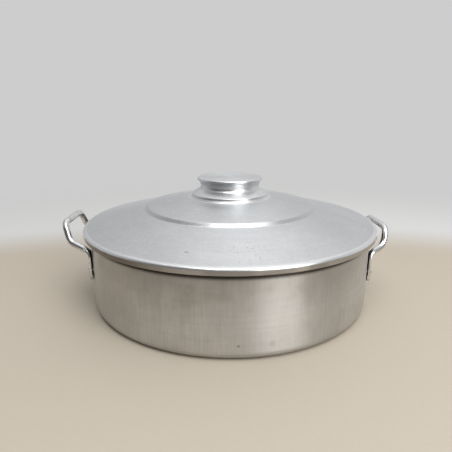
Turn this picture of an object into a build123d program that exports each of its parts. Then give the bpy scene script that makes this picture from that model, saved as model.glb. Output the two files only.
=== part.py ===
"""Covered two-handled aluminium pan: a spun bowl, two riveted rod handles and a stepped lid with a knob.

The origin is the middle of the base's underside, +Z is up, the handles lie along X and -Y is the front.
"""

from build123d import *
import os
from math import cos, radians, sin, sqrt

# Driving dimensions, in millimetres and degrees.

# Pan
PAN_R = 134.0
PAN_H = 70.4
WALL_T = 3.0
BASE_T = 4.0
HEEL_R = 7.0
RIM_R = 0.6

# Lid: radii, and heights above the pan's rim
LID_R = 140.0
LID_T = 2.8
EDGE_H = 5.3
EDGE_TOP_R = 2.2
EDGE_FOOT_R = 0.8
STEP_FOOT = (82.9, 18.6)
STEP_TOP = (80.2, 21.7)
STEP_BEND_R = 2.2
SEAT_FOOT = (39.4, 28.9)
SEAT_TOP = (38.1, 30.6)
SEAT_FOOT_R = 1.6
SEAT_EDGE_R = 0.6
LIP_T = 2.5
LIP_H = 5.0
LIP_GAP = 1.4
LIP_FOOT_R = 0.625

# Knob: radii, and heights above its seat on the lid
FOOT_R = 37.3
FOOT_EDGE_H = 1.9
FOOT_EDGE_R = 0.8
FLARE_SLOPE = 30.0
FLARE_BEND_R = 4.2
WAIST_R = 28.5
WAIST_H = 9.4
NECK_BEND_R = 6.6
KNOB_TOP_R = 31.6
KNOB_H = 17.2
KNOB_EDGE_R = 1.4
KNOB_WALL = 3.4
BOSS_R = 6.5

# The knob's fastener
SCREW_R = 2.45
SCREW_L = 14.0
SCREW_HEAD_R = 4.75
SCREW_HEAD_H = 3.0
SCREW_HEAD_EDGE_R = 1.5
SCREW_CHAMFER = 0.5
SLOT_W = 1.2
SLOT_L = 12.0
SLOT_DEPTH = 1.4
TAPPED_R = 2.5
TAPPED_DEPTH = 11.0
WASHER_R = 6.0
WASHER_T = 1.0
WASHER_CHAMFER = 0.2
CLEARANCE_R = 2.75

# Handles: each a bent rod whose ends are pressed flat and riveted to the wall
ROD_R = 3.0
TAB_W = 11.0
TAB_T = 2.4
TAB_EDGE_R = 0.8
TAB_L = 21.0
TAB_ANGLE = 11.0
TAB_OFFSET = 13.7
TAB_GAP = 0.02
TAB_BEND_R = 6.0
TAB_BEND_L = 6.0
# How far along the tab bend, and how far pressed flat there: (0 to 1, 0 to 1)
NECK_STAGES = ((0, 0), (0.45, 0.7), (0.8, 1), (1, 1))
# Corner radius of a section that is still being pressed, as a share of its thickness
NECK_ROUNDING = 0.49
KNEE_BEND_R = 12.0
SHOULDER_BEND_R = 9.0
KNEE_SPREAD = 28.6
SHOULDER_SPREAD = 23.6

# Rivets
RIVET_R = 2.0
RIVET_HOLE_R = 2.05
RIVET_HOLE_L = 9.0
RIVET_HEAD_R = 3.4
RIVET_HEAD_H = 2.2
RIVET_EDGE_H = 0.4
RIVET_DOME_R = (RIVET_HEAD_R**2 + (RIVET_HEAD_H - RIVET_EDGE_H) ** 2) / (2 * (RIVET_HEAD_H - RIVET_EDGE_H))
PEEN_R = 3.3
PEEN_H = 1.4
PEEN_EDGE_R = 0.5

# Bent by hand, the two loops differ: side, height of the tab's bend, then knee and shoulder as
# (distance from the pan's axis, height)
LEFT = dict(side=-1, bend_z=55.0, knee=(150.8, 61.3), shoulder=(155.9, 78.2))
RIGHT = dict(side=1, bend_z=51.2, knee=(145.9, 55.4), shoulder=(149.3, 71.5))
RIVET_BELOW_BEND = 17.0

INNER_R = PAN_R - WALL_T
SEAT_Z = PAN_H + SEAT_TOP[1]
INNER_EDGE = TAB_OFFSET - TAB_W / 2
TAB_FACE = sqrt(PAN_R**2 - INNER_EDGE**2) + TAB_GAP
INNER_FACE = sqrt(INNER_R**2 - TAB_OFFSET**2)


def tab_plane(side, front, z, distance):
    """Plane across a tab's normal: x_dir along the tab's width, z_dir outwards from the wall."""
    turn = radians(TAB_ANGLE)
    normal = Vector(side * cos(turn), front * sin(turn), 0)
    across = Vector(-side * sin(turn), front * cos(turn), 0)
    origin = normal * distance + across * TAB_OFFSET + Vector(0, 0, z)
    return Plane(origin=origin, x_dir=across, z_dir=normal)


def rivet_planes(handle, distance):
    """The front and the back rivet's planes on one handle."""
    z = handle["bend_z"] - RIVET_BELOW_BEND
    return [tab_plane(handle["side"], front, z, distance) for front in (-1, 1)]


# Pan body: spun bowl with four rivet holes
with BuildPart() as pan_body:
    with BuildSketch(Plane.XZ) as bowl:
        with BuildLine():
            Polyline(
                (0, 0),
                (PAN_R, 0),
                (PAN_R, PAN_H),
                (INNER_R, PAN_H),
                (INNER_R, BASE_T),
                (0, BASE_T),
                close=True,
            )
        make_face()
        fillet(bowl.vertices().sort_by_distance((PAN_R, 0))[0], HEEL_R)
        fillet(bowl.vertices().sort_by_distance((INNER_R, BASE_T))[0], HEEL_R - WALL_T)
        fillet(bowl.vertices().group_by(Axis.Y)[-1], RIM_R)
    revolve(axis=Axis.Z)
    for handle in (LEFT, RIGHT):
        for plane in rivet_planes(handle, PAN_R + TAB_T):
            with BuildSketch(plane):
                Circle(RIVET_HOLE_R)
            extrude(amount=-RIVET_HOLE_L, mode=Mode.SUBTRACT)
pan_body.part.label = "pan_body"

# Lid shell: edge band, cone, step, upper cone and knob seat, with a flange and lip that find the rim
with BuildPart() as lid_shell:
    with BuildSketch(Plane.XZ) as crown:
        with BuildLine():
            FilletPolyline(
                (LID_R, PAN_H),
                (LID_R, PAN_H + EDGE_H),
                (STEP_FOOT[0], PAN_H + STEP_FOOT[1]),
                (STEP_TOP[0], PAN_H + STEP_TOP[1]),
                (SEAT_FOOT[0], PAN_H + SEAT_FOOT[1]),
                (SEAT_TOP[0], SEAT_Z),
                (CLEARANCE_R, SEAT_Z),
                radius=[EDGE_TOP_R, STEP_BEND_R, STEP_BEND_R, SEAT_FOOT_R, SEAT_EDGE_R],
            )
            offset(amount=LID_T, side=Side.LEFT)
        make_face()
        lip_r = INNER_R - LIP_GAP
        with BuildLine():
            Polyline(
                (lip_r - LIP_T, PAN_H - LIP_H),
                (lip_r, PAN_H - LIP_H),
                (lip_r, PAN_H),
                (LID_R - LID_T / 2, PAN_H),
                (LID_R - LID_T / 2, PAN_H + EDGE_H - LID_T / 2),
                (lip_r - LIP_T, PAN_H + EDGE_H + LID_T / 2),
                close=True,
            )
        make_face()
        fillet(crown.vertices().sort_by_distance((LID_R, PAN_H))[0], EDGE_FOOT_R)
        fillet(crown.vertices().group_by(Axis.Y)[0], LIP_FOOT_R)
    revolve(axis=Axis.Z)
lid_shell.part.label = "lid_shell"

# Knob: flared foot, waist and flat top, hollow below round a tapped boss
with BuildPart() as lid_knob:
    slope = radians(FLARE_SLOPE)
    waist = (WAIST_R, SEAT_Z + WAIST_H)
    flare_top = (
        WAIST_R + FLARE_BEND_R * (1 - sin(slope)),
        SEAT_Z + WAIST_H - FLARE_BEND_R * cos(slope),
    )
    neck_rise = sqrt(NECK_BEND_R**2 - (WAIST_R + NECK_BEND_R - KNOB_TOP_R) ** 2)
    rim_foot = (KNOB_TOP_R, SEAT_Z + WAIST_H + neck_rise)
    with BuildSketch(Plane.XZ) as spool:
        with BuildLine():
            Polyline((0, SEAT_Z), (FOOT_R, SEAT_Z), (FOOT_R, SEAT_Z + FOOT_EDGE_H), flare_top)
            RadiusArc(flare_top, waist, FLARE_BEND_R)
            RadiusArc(waist, rim_foot, NECK_BEND_R)
            Polyline(rim_foot, (KNOB_TOP_R, SEAT_Z + KNOB_H), (0, SEAT_Z + KNOB_H), (0, SEAT_Z))
        make_face()
        fillet(spool.vertices().sort_by_distance((KNOB_TOP_R, SEAT_Z + KNOB_H))[0], KNOB_EDGE_R)
        fillet(spool.vertices().sort_by_distance((FOOT_R, SEAT_Z + FOOT_EDGE_H))[0], FOOT_EDGE_R)
    revolve(axis=Axis.Z)
    with BuildSketch(Plane.XZ) as hollow:
        with BuildLine():
            Polyline(
                (BOSS_R, SEAT_Z),
                (FOOT_R - KNOB_WALL, SEAT_Z),
                (WAIST_R - KNOB_WALL, SEAT_Z + WAIST_H - FLARE_BEND_R),
                (WAIST_R - KNOB_WALL, SEAT_Z + KNOB_H - KNOB_WALL),
                (BOSS_R, SEAT_Z + KNOB_H - KNOB_WALL),
                close=True,
            )
        make_face()
    revolve(axis=Axis.Z, mode=Mode.SUBTRACT)
    with BuildSketch(Plane.XY.offset(SEAT_Z)):
        Circle(TAPPED_R)
    extrude(amount=TAPPED_DEPTH, mode=Mode.SUBTRACT)
lid_knob.part.label = "lid_knob"

# Washer under the lid, and the slotted screw that holds the knob through it
washer_z = SEAT_Z - LID_T - WASHER_T
with BuildPart() as knob_washer:
    with BuildSketch(Plane.XY.offset(washer_z)):
        Circle(WASHER_R)
        Circle(CLEARANCE_R, mode=Mode.SUBTRACT)
    extrude(amount=WASHER_T)
    chamfer(knob_washer.edges().group_by(Axis.Z)[0].sort_by(SortBy.RADIUS)[-1], WASHER_CHAMFER)
knob_washer.part.label = "knob_washer"

with BuildPart() as knob_screw:
    with BuildSketch(Plane.XY.offset(washer_z)):
        Circle(SCREW_HEAD_R)
    extrude(amount=-SCREW_HEAD_H)
    fillet(knob_screw.edges().group_by(Axis.Z)[0], SCREW_HEAD_EDGE_R)
    with BuildSketch(Plane.XY.offset(washer_z)):
        Circle(SCREW_R)
    extrude(amount=SCREW_L)
    chamfer(knob_screw.edges().group_by(Axis.Z)[-1], SCREW_CHAMFER)
    with BuildSketch(Plane.XY.offset(washer_z - SCREW_HEAD_H)):
        Rectangle(SLOT_L, SLOT_W)
    extrude(amount=SLOT_DEPTH, mode=Mode.SUBTRACT)
knob_screw.part.label = "knob_screw"


def neck_section(plane, pressed):
    """Rod section part of the way from round (pressed 0) to the flat tab (pressed 1)."""
    width = 2 * ROD_R + pressed * (TAB_W - 2 * ROD_R)
    thickness = 2 * ROD_R + pressed * (TAB_T - 2 * ROD_R)
    corner_r = NECK_ROUNDING * thickness + pressed * (TAB_EDGE_R - NECK_ROUNDING * TAB_T)
    with BuildSketch(plane) as section:
        if pressed:
            RectangleRounded(width, thickness, corner_r)
        else:
            Circle(ROD_R)
    return section.sketch


def loop_handle(side, bend_z, knee, shoulder):
    """One handle: its front half is swept, necked down and pressed flat, then mirrored to the back."""
    tab = tab_plane(side, -1, bend_z, TAB_FACE + TAB_T / 2)
    tab_top = tab.origin - Vector(0, 0, TAB_BEND_L)
    end_centre = tab_top - Vector(0, 0, TAB_L - TAB_W / 2)
    knee_at = Vector(side * knee[0], -KNEE_SPREAD, knee[1])
    shoulder_at = Vector(side * shoulder[0], -SHOULDER_SPREAD, shoulder[1])
    grip_middle = Vector(side * shoulder[0], 0, shoulder[1])
    leg = (knee_at - tab.origin).normalized()
    neck_top = tab.origin + leg * TAB_BEND_L

    with BuildLine() as rod:
        FilletPolyline(
            neck_top, knee_at, shoulder_at, grip_middle, radius=[KNEE_BEND_R, SHOULDER_BEND_R]
        )
    with BuildLine() as neck:
        FilletPolyline(neck_top, tab.origin, tab_top, radius=TAB_BEND_R)

    with BuildPart() as handle:
        with BuildSketch(Plane(origin=neck_top, z_dir=leg)):
            Circle(ROD_R)
        sweep(path=rod.line)

        sections = []
        for place, pressed in NECK_STAGES:
            along = neck.line % place
            across = tab.x_dir - along * tab.x_dir.dot(along)
            plane = Plane(origin=neck.line @ place, x_dir=across, z_dir=along)
            sections.append(neck_section(plane, pressed))
        loft(sections)
        extrude(sections[-1], amount=TAB_L - TAB_W / 2)

        with BuildSketch(Plane(origin=end_centre, x_dir=tab.x_dir, z_dir=tab.z_dir)):
            Circle(TAB_W / 2)
        extrude(amount=TAB_T / 2, both=True)
        with BuildSketch(tab_plane(side, -1, bend_z - RIVET_BELOW_BEND, TAB_FACE + TAB_T / 2)):
            Circle(RIVET_HOLE_R)
        extrude(amount=TAB_T, both=True, mode=Mode.SUBTRACT)
        mirror(about=Plane.XZ)
    return handle


handle_left = loop_handle(**LEFT)
handle_left.part.label = "handle_left"
handle_right = loop_handle(**RIGHT)
handle_right.part.label = "handle_right"


def rivet_pair(handle):
    """Both rivets of one handle: domed head outside, shank through tab and wall, peened head inside."""
    shank_l = TAB_FACE + TAB_T - INNER_FACE + PEEN_H
    with BuildPart() as rivets:
        # Peened heads, made overlong and then cut back to the curve of the inside wall
        for plane in rivet_planes(handle, INNER_FACE - PEEN_H):
            with BuildSketch(plane):
                Circle(PEEN_R)
            extrude(amount=PEEN_H + WALL_T)
        with BuildSketch(Plane.XY):
            Circle(PAN_R + WALL_T)
            Circle(INNER_R - TAB_GAP, mode=Mode.SUBTRACT)
        extrude(amount=PAN_H, mode=Mode.SUBTRACT)
        fillet(rivets.edges().filter_by(GeomType.CIRCLE), PEEN_EDGE_R)
        # Shanks and domed heads, turned about each rivet's own axis, which is the sketch's Y
        for plane in rivet_planes(handle, TAB_FACE + TAB_T):
            turned = Plane(origin=plane.origin, x_dir=plane.x_dir, z_dir=-plane.y_dir)
            with BuildSketch(turned):
                with BuildLine():
                    Polyline(
                        (0, RIVET_HEAD_H),
                        (0, -shank_l),
                        (RIVET_R, -shank_l),
                        (RIVET_R, 0),
                        (RIVET_HEAD_R, 0),
                        (RIVET_HEAD_R, RIVET_EDGE_H),
                    )
                    RadiusArc((RIVET_HEAD_R, RIVET_EDGE_H), (0, RIVET_HEAD_H), -RIVET_DOME_R)
                make_face()
            revolve(axis=Axis(plane.origin, plane.z_dir))
    return rivets


rivets_left = rivet_pair(LEFT)
rivets_left.part.label = "rivets_left"
rivets_right = rivet_pair(RIGHT)
rivets_right.part.label = "rivets_right"

os.makedirs("parts", exist_ok=True)
for piece in (
    pan_body,
    lid_shell,
    lid_knob,
    knob_washer,
    knob_screw,
    handle_left,
    handle_right,
    rivets_left,
    rivets_right,
):
    export_step(piece.part, f"parts/{piece.part.label}.step")
    print(piece.part.label, round(piece.part.volume), piece.part.is_valid)
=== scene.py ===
"""Looks of the covered two-handled aluminium pan.

Spun metal skins, worn materials, floor, light and camera, in metres in the CAD model's frame:
+Z up, the handles along X, the front at -Y.
"""
import bpy
import bmesh
import math
from mathutils import Matrix, Vector, noise


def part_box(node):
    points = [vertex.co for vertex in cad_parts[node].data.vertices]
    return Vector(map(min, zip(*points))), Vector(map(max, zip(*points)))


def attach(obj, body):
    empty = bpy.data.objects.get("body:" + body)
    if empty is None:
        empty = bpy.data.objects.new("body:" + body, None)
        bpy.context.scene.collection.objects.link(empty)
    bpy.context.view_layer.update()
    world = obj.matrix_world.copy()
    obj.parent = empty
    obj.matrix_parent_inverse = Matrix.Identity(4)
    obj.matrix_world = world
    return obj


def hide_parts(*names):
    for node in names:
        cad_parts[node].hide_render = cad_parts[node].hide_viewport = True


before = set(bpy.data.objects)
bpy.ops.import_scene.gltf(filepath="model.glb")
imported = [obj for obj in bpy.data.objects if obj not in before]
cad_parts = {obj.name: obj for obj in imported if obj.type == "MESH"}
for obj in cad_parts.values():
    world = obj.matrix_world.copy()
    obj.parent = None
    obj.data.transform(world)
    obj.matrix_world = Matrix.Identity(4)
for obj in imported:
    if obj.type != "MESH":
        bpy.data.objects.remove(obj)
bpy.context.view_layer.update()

MM = 0.001

# Driving places of the turned parts, from the CAD frame
LID_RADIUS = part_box("lid_shell")[1].x
PAN_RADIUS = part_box("pan_body")[1].x
PAN_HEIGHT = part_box("pan_body")[1].z
KNOB_TOP_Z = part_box("lid_knob")[1].z

# Places on the lid: the middle of its step, the knob's seat, and a height and a radius on its cone
STEP_RADIUS = 81.5 * MM
SEAT_RADIUS = 39 * MM
CONE_Z = 80 * MM
PITTED_RADIUS = 119 * MM
GOUGE_RADIUS = 121 * MM
GOUGE_Z = 80.2 * MM

# How the turned pieces are meshed
WIDE_SEGMENTS = 600
WIDE_SPACING = 3 * MM
KNOB_SEGMENTS = 320
KNOB_SPACING = 1 * MM
CORNER_MARGIN = 0.25 * MM
WELD = 1e-7
POINT_SIZE = 1e-6
BEND = math.radians(0.5)
SHARP = math.radians(35)

# Brightness of the plain backdrop
BACKDROP = 0.61

# Floor: size of the disc, and the radii from which, and at which, it only glows like the room
FLOOR_RADIUS = 20.0
FLOOR_SEGMENTS = 96
GLOW_FROM = 0.36
GLOW_AT = 0.8

# What the softboxes are aimed at
AIM = (0, 0, 60 * MM)

# Camera: in front of the pan, turned a little about its axis
CAMERA_DISTANCE = 0.4082
CAMERA_HEIGHT = 0.1804
CAMERA_TURN = math.radians(1.8)
CAMERA_PITCH = math.radians(15.4)
CAMERA_YAW = math.radians(0.53)
SENSOR_MM = 36.0
LENS_MM = 33.45


# ---------------------------------------------------------------- meshes

def half_section(node):
    """A turned CAD node's outline in the half plane y = 0, x > 0, and whether it closes.

    The outline is a list of (radius, height).
    """
    cut = bmesh.new()
    cut.from_mesh(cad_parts[node].data)
    bmesh.ops.remove_doubles(cut, verts=cut.verts, dist=WELD)
    everything = cut.verts[:] + cut.edges[:] + cut.faces[:]
    found = bmesh.ops.bisect_plane(
        cut, geom=everything, plane_co=(0, 0, 0), plane_no=(0, 1, 0), dist=WELD
    )
    beside = {}
    for edge in found["geom_cut"]:
        if isinstance(edge, bmesh.types.BMEdge) and edge.verts[0].co.x + edge.verts[1].co.x > 0:
            for vert in edge.verts:
                beside.setdefault(vert, []).append(edge.other_vert(vert))
    ends = [vert for vert in beside if len(beside[vert]) == 1]
    if ends:
        here = max(ends, key=lambda vert: vert.co.z)
    else:
        here = max(beside, key=lambda vert: vert.co.x)
    outline, seen = [], set()
    while here is not None:
        seen.add(here)
        outline.append(Vector((max(here.co.x, 0.0), here.co.z)))
        here = next((vert for vert in beside[here] if vert not in seen), None)
    cut.free()
    return outline, not ends


def respaced(outline, closed, longest):
    """The same outline without needless points, its long runs divided and its corners guarded.

    A point stands CORNER_MARGIN from each corner, and no run between points is above longest.
    """
    last = len(outline) - 1
    corners = []
    for i, point in enumerate(outline):
        if not closed and i in (0, last):
            corners.append(point)
            continue
        before, after = point - outline[i - 1], outline[(i + 1) % (last + 1)] - point
        if min(before.length, after.length) > POINT_SIZE and before.angle(after) > BEND:
            corners.append(point)
    ends = corners[1:] + ([corners[0]] if closed else [])
    dense = []
    for a, b in zip(corners, ends):
        dense.append(a)
        run = (b - a).length
        if run < 4 * CORNER_MARGIN:
            continue
        middle = run - 2 * CORNER_MARGIN
        count = max(1, math.ceil(middle / longest))
        for k in range(count + 1):
            dense.append(a.lerp(b, (CORNER_MARGIN + middle * k / count) / run))
    if not closed:
        dense.append(corners[-1])
    return dense


def turned(name, node, body, longest, segments, wear):
    """A piece spun about Z from its CAD node's own outline; wear(point) moves each point."""
    outline, closed = half_section(node)
    outline = respaced(outline, closed, longest)
    mesh = bmesh.new()
    rings = []
    for radius, height in outline:
        if radius < POINT_SIZE:
            rings.append([mesh.verts.new((0, 0, height))])
            continue
        ring = []
        for i in range(segments):
            turn = 2 * math.pi * i / segments
            true = Vector((radius * math.cos(turn), radius * math.sin(turn), height))
            ring.append(mesh.verts.new(wear(true)))
        rings.append(ring)
    for lower, upper in zip(rings, rings[1:] + (rings[:1] if closed else [])):
        for i in range(segments):
            j = (i + 1) % segments
            # A ring of one vertex, on the axis, gives triangles
            below = (lower[i % len(lower)], lower[j % len(lower)])
            above = (upper[j % len(upper)], upper[i % len(upper)])
            mesh.faces.new(dict.fromkeys(below + above))
    bmesh.ops.recalc_face_normals(mesh, faces=mesh.faces)
    for face in mesh.faces:
        face.smooth = True
    for edge in mesh.edges:
        edge.smooth = edge.calc_face_angle(0.0) < SHARP
    data = bpy.data.meshes.new(name)
    mesh.to_mesh(data)
    mesh.free()
    piece = bpy.data.objects.new(name, data)
    bpy.context.scene.collection.objects.link(piece)
    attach(piece, body)
    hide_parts(node)
    return piece


def outward(point):
    """The horizontal unit vector from the axis to a point."""
    return Vector((point.x, point.y, 0)).normalized()


def ripple(point, size, seed):
    """A smooth random number between about -1 and 1 that changes over the given size."""
    return noise.noise(point / size + Vector((seed, 0, 0)))


def dent(point, place, size, depth):
    """How far a dent at a place pushes a point in: a smooth hollow of the given size and depth."""
    away = (point - place).length / size
    return depth * math.exp(-away * away)


def around(radius, degrees, height):
    """A point at an angle about the axis, 0 in front and positive to the right."""
    turn = math.radians(degrees)
    return Vector((radius * math.sin(turn), -radius * math.cos(turn), height))


# Dents and nicks: where, how wide and how deep
WALL_DENTS = (
    (around(PAN_RADIUS, -38, 28 * MM), 9 * MM, 0.5 * MM),
    (around(PAN_RADIUS, 27, 49 * MM), 7 * MM, 0.35 * MM),
    (around(PAN_RADIUS, 118, 22 * MM), 11 * MM, 0.6 * MM),
    (around(PAN_RADIUS, 196, 41 * MM), 8 * MM, 0.5 * MM),
)
EDGE_NICKS = (
    (around(LID_RADIUS, -51, 75 * MM), 3.4 * MM, 0.35 * MM),
    (around(LID_RADIUS, -45, 75 * MM), 4.0 * MM, 0.3 * MM),
    (around(LID_RADIUS, 33, 74 * MM), 3.6 * MM, 0.3 * MM),
    (around(LID_RADIUS, 160, 75 * MM), 4.5 * MM, 0.4 * MM),
)


def worn_wall(point):
    """The pan's wall after years of use: out of round, rippled and dented, the base left true."""
    height = min(1.0, point.z / (20 * MM))
    out = 0.18 * MM * ripple(point, 60 * MM, 3.1) * height
    out += 0.05 * MM * ripple(point, 18 * MM, 7.7) * height
    out -= sum(dent(point, *place) for place in WALL_DENTS)
    return point + outward(point) * out


def worn_lid(point):
    """The lid's skin: wavy above its seat on the pan, and with small knocks on its edge."""
    raised = min(1.0, max(0.0, (point.z - 72 * MM) / (6 * MM)))
    up = 0.16 * MM * ripple(point, 45 * MM, 11.3) * raised
    nicks = sum(dent(point, *place) for place in EDGE_NICKS)
    up_and_out = (outward(point) + Vector((0, 0, 1))) * 0.7
    return point + Vector((0, 0, up)) - up_and_out * nicks


def worn_knob(point):
    """The knob's skin: turned true, with the faintest waviness left from polishing."""
    return point + outward(point) * 0.04 * MM * ripple(point, 12 * MM, 5.9)


# ---------------------------------------------------------------- shader graphs

class Graph:
    """A shader being built. Each method adds one node and gives back its output."""

    def __init__(self, owner):
        owner.use_nodes = True
        self.tree = owner.node_tree
        self.tree.nodes.clear()

    def add(self, kind, inputs=None, **settings):
        """A node of any kind, with its settings, and its inputs by name or number."""
        node = self.tree.nodes.new(kind)
        for key, value in settings.items():
            setattr(node, key, value)
        for key, value in (inputs or {}).items():
            if isinstance(value, bpy.types.NodeSocket):
                self.tree.links.new(value, node.inputs[key])
            else:
                node.inputs[key].default_value = value
        return node

    def math(self, operation, *values):
        return self.add("ShaderNodeMath", dict(enumerate(values)), operation=operation).outputs[0]

    def vector(self, operation, *values):
        node = self.add("ShaderNodeVectorMath", dict(enumerate(values)), operation=operation)
        return node.outputs["Value" if operation in ("LENGTH", "DISTANCE") else "Vector"]

    def join(self, x, y, z):
        return self.add("ShaderNodeCombineXYZ", {0: x, 1: y, 2: z}).outputs[0]

    def noise(self, place, scale=1.0, detail=3.0, roughness=0.55):
        inputs = {"Vector": place, "Scale": scale, "Detail": detail, "Roughness": roughness}
        return self.add("ShaderNodeTexNoise", inputs).outputs["Fac"]

    def cells(self, place, scale):
        """How far the middle of the nearest cell is, and that cell's random colour."""
        node = self.add("ShaderNodeTexVoronoi", {"Vector": place, "Scale": scale})
        return node.outputs["Distance"], node.outputs["Color"]

    def spread(self, value, low, high, to_low=0.0, to_high=1.0):
        """value from low to high made to_low to to_high, smoothly, and held beyond."""
        source = {"Value": value, "From Min": low, "From Max": high}
        target = {"To Min": to_low, "To Max": to_high}
        node = self.add("ShaderNodeMapRange", source | target, interpolation_type="SMOOTHSTEP")
        return node.outputs["Result"]

    def blend(self, share, a, b):
        """Number a where share is 0, b where it is 1."""
        return self.add("ShaderNodeMix", {0: share, 2: a, 3: b}, data_type="FLOAT").outputs[0]

    def tint(self, share, a, b):
        """Colour a where share is 0, b where it is 1."""
        node = self.add("ShaderNodeMix", {0: share}, data_type="RGBA")
        for key, value in ((6, a), (7, b)):
            if isinstance(value, bpy.types.NodeSocket):
                self.tree.links.new(value, node.inputs[key])
            else:
                node.inputs[key].default_value = (*value, 1.0)
        return node.outputs[2]

    def bump(self, height, depth, under=None):
        """Relief of the given depth in metres, over another relief if there is one."""
        inputs = {"Strength": 1.0, "Distance": depth, "Height": height}
        if under is not None:
            inputs["Normal"] = under
        return self.add("ShaderNodeBump", inputs).outputs[0]


class Turned(Graph):
    """A shader on a turned or riveted part, with the coordinates that its marks follow."""

    def __init__(self, owner):
        super().__init__(owner)
        self.place = self.add("ShaderNodeTexCoord").outputs["Object"]
        parts = self.add("ShaderNodeSeparateXYZ", {0: self.place})
        self.x, self.y, self.z = parts.outputs[0], parts.outputs[1], parts.outputs[2]
        flat = self.join(self.x, self.y, 0.0)
        self.radius = self.vector("LENGTH", flat)
        self.facing = self.vector("NORMALIZE", flat)
        self.run = self.math("SUBTRACT", self.radius, self.z)

    def turning(self, pitch, turns, seed, detail=3.0):
        """Lathe rings: pitch apart, and long round the axis, but shorter with more turns."""
        round_axis = self.vector("SCALE", self.facing)
        round_axis.node.inputs["Scale"].default_value = turns
        along = self.join(seed, seed, self.math("DIVIDE", self.run, pitch))
        return self.noise(self.vector("ADD", round_axis, along), detail=detail, roughness=0.65)

    def hairs(self, size, stretch, seed, width=0.03):
        """Hairline scratches: where a stretched noise crosses its middle, in some places only."""
        scaled = self.vector("MULTIPLY", self.place, tuple(1 / (size * s) for s in stretch))
        field = self.noise(self.vector("ADD", scaled, (seed, seed, seed)), detail=0.0)
        off_middle = self.math("ABSOLUTE", self.math("SUBTRACT", field, 0.5))
        line = self.spread(off_middle, 0.0, width, 1.0, 0.0)
        some = self.noise(self.vector("ADD", self.place, (seed, 0.0, 0.0)), scale=45.0, detail=1.0)
        return self.math("MULTIPLY", line, self.spread(some, 0.5, 0.66))

    def clouds(self, size, seed, detail=4.0):
        """Soft patches of the given size in metres."""
        moved = self.vector("ADD", self.place, (seed, seed, 0.0))
        return self.noise(moved, scale=1 / size, detail=detail)

    def shut_in(self, reach):
        """1 deep in a crevice or under an overhang, 0 in the open, looking as far as reach."""
        looking = self.add("ShaderNodeAmbientOcclusion", {"Distance": reach}, samples=48)
        return self.spread(looking.outputs["AO"], 0.80, 0.92, 1.0, 0.0)

    def near(self, centre, size):
        """1 at a place on the part, fading to 0 a size away."""
        away = self.vector("DISTANCE", self.place, tuple(centre))
        return self.spread(away, 0.25 * size, size, 1.0, 0.0)

    def finish(self, colour, roughness, normal, anisotropic=0.0):
        """The metal itself."""
        metal = self.add("ShaderNodeBsdfPrincipled")
        metal.inputs["Metallic"].default_value = 1.0
        metal.inputs["Anisotropic"].default_value = anisotropic
        metal.inputs["Anisotropic Rotation"].default_value = 0.25
        self.tree.links.new(colour, metal.inputs["Base Color"])
        self.tree.links.new(roughness, metal.inputs["Roughness"])
        self.tree.links.new(normal, metal.inputs["Normal"])
        if anisotropic:
            tangent = self.add("ShaderNodeTangent", direction_type="RADIAL", axis="Z")
            self.tree.links.new(tangent.outputs[0], metal.inputs["Tangent"])
        output = self.add("ShaderNodeOutputMaterial")
        self.tree.links.new(metal.outputs[0], output.inputs["Surface"])


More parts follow.
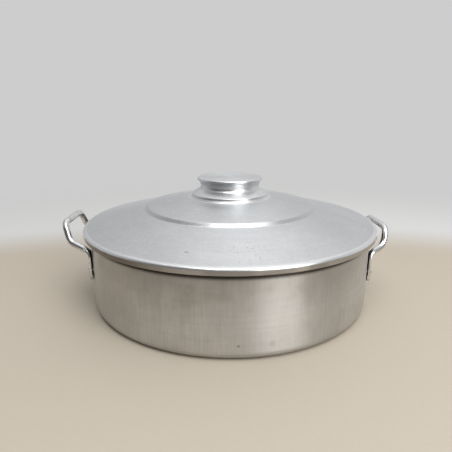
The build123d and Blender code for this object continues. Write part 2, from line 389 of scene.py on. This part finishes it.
def lid_metal():
    """Spun lid: cool satin grey, dulled and speckled, polished where it is rubbed, its edge band
    painted with a reflection of the floor, with smears and painted shade on its left.
    """
    material = bpy.data.materials.new("lid_metal")
    g = Turned(material)
    patches = g.clouds(55 * MM, 2.0)
    mottle = g.clouds(7 * MM, 9.0)
    speckle = g.clouds(1.3 * MM, 5.0, detail=2.0)
    rings = g.turning(1.3 * MM, 1.6, 4.0)
    wide_rings = g.turning(7 * MM, 0.8, 8.0, detail=1.0)
    marks = g.hairs(14 * MM, (1.0, 0.05, 0.3), 3.0)
    distance, tone = g.cells(g.place, 1 / (2.6 * MM))
    chance = g.add("ShaderNodeSeparateColor", {0: tone}).outputs[0]
    pitted_zone = g.math("MAXIMUM", g.near(around(PITTED_RADIUS, 6, CONE_Z), 26 * MM), 0.14)
    pits = g.math("MULTIPLY", g.spread(distance, 0.14, 0.36, 1.0, 0.0), g.spread(chance, 0.55, 0.7))
    pits = g.math("MULTIPLY", pits, pitted_zone)
    gouge = g.near(around(GOUGE_RADIUS, -17, GOUGE_Z), 1.5 * MM)
    for degrees in (-16.5, -17.5):
        gouge_end = g.near(around(GOUGE_RADIUS, degrees, GOUGE_Z), 1.3 * MM)
        gouge = g.math("MAXIMUM", gouge, gouge_end)
    edge = g.spread(g.radius, LID_RADIUS - 4.2 * MM, LID_RADIUS - 2.2 * MM)
    band = g.spread(g.z, PAN_HEIGHT + 4.4 * MM, PAN_HEIGHT + 3.4 * MM)
    smears = g.spread(g.clouds(30 * MM, 41.0, detail=2.0), 0.42, 0.6)
    # Painted shade: the edge band darkened towards its left side.
    painted_left_shade = g.near(around(LID_RADIUS, -45, 73 * MM), 75 * MM)
    smears_and_painted_shade = g.math("MAXIMUM", g.math("MULTIPLY", smears, 0.45), painted_left_shade)
    off_step = g.math("ABSOLUTE", g.math("SUBTRACT", g.radius, STEP_RADIUS))
    step = g.spread(off_step, 1.2 * MM, 2.4 * MM, 1.0, 0.0)
    seat = g.spread(g.radius, SEAT_RADIUS, SEAT_RADIUS + 2.5 * MM, 1.0, 0.0)
    smoothed = g.math("MAXIMUM", g.math("MAXIMUM", edge, step), seat)
    rubbed = g.math("MAXIMUM", edge, seat)
    colour = g.tint(g.spread(patches, 0.35, 0.7), (0.615, 0.63, 0.645), (0.69, 0.70, 0.71))
    colour = g.tint(g.spread(mottle, 0.35, 0.7, 0.0, 0.35), colour, (0.57, 0.585, 0.60))
    colour = g.tint(g.spread(speckle, 0.42, 0.75, 0.0, 0.6), colour, (0.50, 0.51, 0.52))
    colour = g.tint(g.spread(rings, 0.35, 0.75, 0.0, 0.2), colour, (0.50, 0.51, 0.52))
    colour = g.tint(g.math("MULTIPLY", rubbed, 0.7), colour, (0.84, 0.85, 0.86))
    holes = g.math("MULTIPLY", g.math("MAXIMUM", pits, gouge), 0.6)
    colour = g.tint(holes, colour, (0.24, 0.235, 0.23))
    colour = g.tint(g.math("MULTIPLY", marks, 0.15), colour, (0.45, 0.45, 0.46))
    # Painted reflection of the warm floor: the edge band darker and browner than the top.
    colour = g.tint(g.math("MULTIPLY", band, 0.85), colour, (0.40, 0.37, 0.34))
    # Random smears on the edge band, with the painted shade on its left, tint it dark brown.
    smears_and_painted_shade = g.math("MULTIPLY", g.math("MULTIPLY", band, smears_and_painted_shade), 0.8)
    colour = g.tint(smears_and_painted_shade, colour, (0.15, 0.13, 0.11))
    roughness = g.spread(patches, 0.3, 0.75, 0.44, 0.36)
    roughness = g.math("ADD", roughness, g.spread(wide_rings, 0.3, 0.7, -0.03, 0.03))
    roughness = g.math("ADD", roughness, g.spread(speckle, 0.3, 0.7, -0.03, 0.05))
    roughness = g.blend(smoothed, roughness, 0.33)
    roughness = g.math("ADD", roughness, g.math("MULTIPLY", marks, 0.1))
    relief = g.bump(rings, 0.010 * MM)
    relief = g.bump(g.math("ADD", marks, pits), -0.03 * MM, relief)
    relief = g.bump(speckle, 0.03 * MM, relief)
    g.finish(colour, roughness, relief, 0.45)
    return material


def knob_metal():
    """Turned knob: brighter than the lid, polished round its neck, with fine turning lines."""
    material = bpy.data.materials.new("knob_metal")
    g = Turned(material)
    patches = g.clouds(14 * MM, 5.0)
    rings = g.turning(0.7 * MM, 1.2, 6.0)
    marks = g.hairs(8 * MM, (1.0, 0.08, 0.5), 8.0)
    top = g.spread(g.z, KNOB_TOP_Z - 0.6 * MM, KNOB_TOP_Z - 0.2 * MM)
    colour = g.tint(g.spread(patches, 0.35, 0.7), (0.66, 0.675, 0.69), (0.76, 0.77, 0.78))
    colour = g.tint(g.spread(rings, 0.4, 0.8, 0.0, 0.3), colour, (0.50, 0.51, 0.53))
    colour = g.tint(g.math("MULTIPLY", marks, 0.3), colour, (0.5, 0.5, 0.51))
    roughness = g.spread(patches, 0.3, 0.7, 0.38, 0.32)
    roughness = g.blend(top, roughness, 0.38)
    roughness = g.math("ADD", roughness, g.math("MULTIPLY", marks, 0.12))
    relief = g.bump(rings, 0.008 * MM)
    relief = g.bump(marks, -0.02 * MM, relief)
    g.finish(colour, roughness, relief, 0.3)
    return material


def pan_metal():
    """Drawn pan: warm grey, brushed up and down and round, stained, darker towards its rim and its
    left, with painted shade under the lid's edge and painted shade and floor reflection at its
    base.
    """
    material = bpy.data.materials.new("pan_metal")
    g = Turned(material)
    patches = g.clouds(45 * MM, 14.0)
    stains = g.clouds(22 * MM, 31.0)
    rings = g.turning(1.4 * MM, 2.2, 15.0)
    upright = g.vector("MULTIPLY", g.place, (1 / (1.1 * MM), 1 / (1.1 * MM), 1 / (26 * MM)))
    brushed = g.noise(upright, detail=3.0, roughness=0.6)
    marks = g.hairs(22 * MM, (1.0, 1.0, 0.03), 17.0)
    streaks = g.hairs(16 * MM, (0.05, 0.05, 1.4), 23.0)
    darker_left_patch = g.near(around(PAN_RADIUS, -62, 50 * MM), 95 * MM)
    top = g.spread(g.z, 0.4 * PAN_HEIGHT, PAN_HEIGHT)
    painted_base_shade = g.spread(g.z, 9 * MM, 1 * MM)
    colour = g.tint(g.spread(patches, 0.32, 0.7), (0.60, 0.595, 0.587), (0.70, 0.695, 0.687))
    colour = g.tint(g.spread(brushed, 0.3, 0.75, 0.0, 0.32), colour, (0.42, 0.415, 0.405))
    colour = g.tint(g.spread(rings, 0.35, 0.75, 0.0, 0.25), colour, (0.42, 0.41, 0.40))
    stain_depth = g.math("ADD", g.math("MULTIPLY", top, 0.5), 0.15)
    stained = g.math("MULTIPLY", g.spread(stains, 0.5, 0.72), stain_depth)
    colour = g.tint(stained, colour, (0.36, 0.33, 0.29))
    # Darker towards the rim.
    colour = g.tint(g.math("MULTIPLY", top, 0.55), colour, (0.36, 0.34, 0.315))
    # Darker and browner towards the pan's left side.
    colour = g.tint(g.math("MULTIPLY", darker_left_patch, 0.4), colour, (0.37, 0.335, 0.285))
    # Painted shade and painted reflection of the warm floor: darker and browner towards the base.
    colour = g.tint(g.math("MULTIPLY", painted_base_shade, 0.5), colour, (0.34, 0.305, 0.26))
    scratched = g.math("MAXIMUM", marks, streaks)
    colour = g.tint(g.math("MULTIPLY", scratched, 0.16), colour, (0.78, 0.77, 0.75))
    # Painted shade, partly grime: the wall tinted near black where the lid's edge and the handle
    # tabs shut it in, above the base.
    painted_shade_and_grime = g.math("MULTIPLY", g.shut_in(9 * MM), g.spread(g.z, 10 * MM, 22 * MM))
    colour = g.tint(g.math("MULTIPLY", painted_shade_and_grime, 0.95), colour, (0.03, 0.025, 0.02))
    smudge = g.near(around(PAN_RADIUS, 12, 13 * MM), 4 * MM)
    speck = g.near(around(PAN_RADIUS, 1, 13 * MM), 1.6 * MM)
    spots = g.math("MAXIMUM", g.math("MULTIPLY", smudge, 0.25), g.math("MULTIPLY", speck, 0.7))
    colour = g.tint(spots, colour, (0.2, 0.18, 0.17))
    roughness = g.spread(patches, 0.3, 0.7, 0.40, 0.33)
    roughness = g.math("ADD", roughness, g.spread(brushed, 0.3, 0.75, -0.03, 0.05))
    relief = g.bump(brushed, 0.02 * MM)
    relief = g.bump(rings, 0.012 * MM, relief)
    relief = g.bump(scratched, -0.008 * MM, relief)
    g.finish(colour, roughness, relief, 0.8)
    return material


def small_metal(name, clean, dull, smooth, rough, grain, seed):
    """A small fitting's metal: clean and dull colours mixed in patches, with fine wear."""
    material = bpy.data.materials.new(name)
    g = Turned(material)
    patches = g.clouds(grain * 4, seed)
    fine = g.clouds(grain * 0.5, seed + 5.0, detail=5.0)
    marks = g.hairs(grain * 2.5, (1.0, 0.3, 1.0), seed + 9.0, 0.05)
    colour = g.tint(g.spread(patches, 0.4, 0.7), clean, dull)
    colour = g.tint(g.spread(fine, 0.5, 0.8, 0.0, 0.35), colour, dull)
    colour = g.tint(g.math("MULTIPLY", marks, 0.4), colour, tuple(0.55 * c for c in dull))
    roughness = g.spread(patches, 0.35, 0.75, smooth, rough)
    roughness = g.math("ADD", roughness, g.spread(fine, 0.4, 0.8, 0.0, 0.08))
    relief = g.bump(patches, 0.12 * MM)
    relief = g.bump(g.math("SUBTRACT", fine, marks), 0.02 * MM, relief)
    g.finish(colour, roughness, relief)
    return material


def dress(objects, material):
    """Every slot of these objects gets the material."""
    for piece in objects:
        piece.data.materials.clear()
        piece.data.materials.append(material)


def dress_nodes(names, material):
    """A material into every slot of carried-over CAD nodes, whose meshes stay as they are."""
    for name in names:
        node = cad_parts[name]
        for place in node.material_slots:
            place.link = "OBJECT"
            place.material = material


# ---------------------------------------------------------------- stage, light, camera

def surroundings(g, x, y, z):
    """Brightness of the room in a direction: pale behind and above, dimmer in front."""
    behind = g.spread(g.math("ADD", y, g.math("MULTIPLY", z, 0.4)), -0.35, 0.25)
    wall = g.math("ADD", g.spread(z, 0.2, 0.8, 0.60, 1.0), g.spread(z, 0.8, 1.0, 0.0, 0.4))
    front = g.spread(z, 0.1, 0.95, 0.10, 0.35)
    aside = g.math("MULTIPLY", g.spread(g.math("ABSOLUTE", x), 0.3, 0.75), g.spread(z, 0.3, 0.65))
    side = g.spread(x, -1.0, 1.0, 0.82, 1.18)
    level = g.math("MULTIPLY", g.blend(behind, front, wall), side)
    return g.math("MULTIPLY", level, g.blend(aside, 1.0, 0.5))


def seen(g, level):
    """The room's brightness as light, with an even pale backdrop where it is looked at directly."""
    straight = g.add("ShaderNodeLightPath").outputs["Is Camera Ray"]
    return g.blend(straight, level, BACKDROP)


def floor():
    """A plain pale floor, warm about the pan, which further off glows like the room's wall."""
    mesh = bmesh.new()
    bmesh.ops.create_circle(mesh, cap_ends=True, segments=FLOOR_SEGMENTS, radius=FLOOR_RADIUS)
    data = bpy.data.meshes.new("floor")
    mesh.to_mesh(data)
    mesh.free()
    ground = bpy.data.objects.new("floor", data)
    bpy.context.scene.collection.objects.link(ground)
    material = bpy.data.materials.new("floor_paint")
    g = Turned(material)
    pool = g.vector("LENGTH", g.join(g.math("MULTIPLY", g.x, 0.5), g.math("ADD", g.y, 0.09), 0.0))
    away = g.spread(pool, 0.23, 0.36)
    grain = g.noise(g.place, scale=260.0, detail=4.0)
    colour = g.tint(g.spread(grain, 0.3, 0.7, 0.0, 0.12), (0.48, 0.43, 0.36), (0.42, 0.37, 0.30))
    colour = g.tint(away, colour, (0.62, 0.62, 0.615))
    paint = g.add("ShaderNodeBsdfPrincipled", {"Base Color": colour, "Roughness": 0.9})
    paint.inputs["Specular IOR Level"].default_value = 0.1
    facing = g.add("ShaderNodeSeparateXYZ", {0: g.facing})
    level = surroundings(g, facing.outputs[0], facing.outputs[1], 0.0)
    glow = g.add("ShaderNodeEmission", {"Strength": seen(g, level)})
    glow.inputs["Color"].default_value = (1.0, 1.0, 1.0, 1.0)
    blended = g.add("ShaderNodeMixShader", {0: g.spread(g.radius, GLOW_FROM, GLOW_AT)})
    g.tree.links.new(paint.outputs[0], blended.inputs[1])
    g.tree.links.new(glow.outputs[0], blended.inputs[2])
    output = g.add("ShaderNodeOutputMaterial")
    g.tree.links.new(blended.outputs[0], output.inputs["Surface"])
    data.materials.append(material)


def room():
    """Soft light from all round."""
    world = bpy.data.worlds.new("room")
    bpy.context.scene.world = world
    g = Graph(world)
    direction = g.add("ShaderNodeTexCoord").outputs["Generated"]
    parts = g.add("ShaderNodeSeparateXYZ", {0: direction})
    level = surroundings(g, parts.outputs[0], parts.outputs[1], parts.outputs[2])
    sky = g.add("ShaderNodeBackground", {"Strength": seen(g, level)})
    sky.inputs["Color"].default_value = (1.0, 1.0, 1.0, 1.0)
    output = g.add("ShaderNodeOutputWorld")
    g.tree.links.new(sky.outputs[0], output.inputs["Surface"])


def softbox(name, degrees, elevation, distance, width, height, watts, colour):
    """A soft area light aimed at the pan, from degrees about its axis (0 in front)."""
    data = bpy.data.lights.new(name, "AREA")
    data.shape = "RECTANGLE"
    data.size, data.size_y = width, height
    data.energy = watts
    data.color = colour
    lamp = bpy.data.objects.new(name, data)
    rise = math.radians(elevation)
    lamp.location = around(distance * math.cos(rise), degrees, distance * math.sin(rise))
    aim = Vector(AIM) - lamp.location
    lamp.rotation_mode = "QUATERNION"
    lamp.rotation_quaternion = aim.to_track_quat("-Z", "Y")
    lamp.visible_camera = False
    bpy.context.scene.collection.objects.link(lamp)


def camera():
    """The camera in front of the pan, above the lid's edge."""
    data = bpy.data.cameras.new("camera")
    data.sensor_width = SENSOR_MM
    data.lens = LENS_MM
    eye = bpy.data.objects.new("camera", data)
    heading = Matrix.Rotation(CAMERA_YAW - CAMERA_TURN, 4, "Z")
    tilt = Matrix.Rotation(math.pi / 2 - CAMERA_PITCH, 4, "X")
    eye.location = (
        -CAMERA_DISTANCE * math.sin(CAMERA_TURN),
        -CAMERA_DISTANCE * math.cos(CAMERA_TURN),
        CAMERA_HEIGHT,
    )
    eye.rotation_mode = "QUATERNION"
    eye.rotation_quaternion = (heading @ tilt).to_quaternion()
    bpy.context.scene.collection.objects.link(eye)
    bpy.context.scene.camera = eye


# ---------------------------------------------------------------- the scene

pan = turned("pan", "pan_body", "pan", WIDE_SPACING, WIDE_SEGMENTS, worn_wall)
lid = turned("lid", "lid_shell", "lid", WIDE_SPACING, WIDE_SEGMENTS, worn_lid)
knob = turned("knob", "lid_knob", "lid", KNOB_SPACING, KNOB_SEGMENTS, worn_knob)
dress([pan], pan_metal())
dress([lid], lid_metal())
dress([knob], knob_metal())
rod_metal = small_metal(
    "rod_metal",
    clean=(0.77, 0.78, 0.79),
    dull=(0.56, 0.555, 0.55),
    smooth=0.2,
    rough=0.32,
    grain=2 * MM,
    seed=1.0,
)
rivet_metal = small_metal(
    "rivet_metal",
    clean=(0.84, 0.84, 0.84),
    dull=(0.5, 0.48, 0.45),
    smooth=0.2,
    rough=0.34,
    grain=1 * MM,
    seed=21.0,
)
steel = small_metal(
    "screw_steel",
    clean=(0.62, 0.61, 0.6),
    dull=(0.36, 0.33, 0.31),
    smooth=0.26,
    rough=0.42,
    grain=1.2 * MM,
    seed=33.0,
)
dress_nodes(("handle_left", "handle_right"), rod_metal)
dress_nodes(("rivets_left", "rivets_right"), rivet_metal)
dress_nodes(("knob_screw", "knob_washer"), steel)

floor()
room()
softbox(
    "window",
    degrees=36,
    elevation=28,
    distance=1.3,
    width=0.72,
    height=1.2,
    watts=11,
    colour=(1.0, 0.99, 0.97),
)
softbox(
    "ceiling",
    degrees=8,
    elevation=66,
    distance=1.4,
    width=0.9,
    height=0.6,
    watts=7,
    colour=(1.0, 1.0, 1.0),
)
camera()
bpy.context.scene.view_settings.view_transform = "Standard"
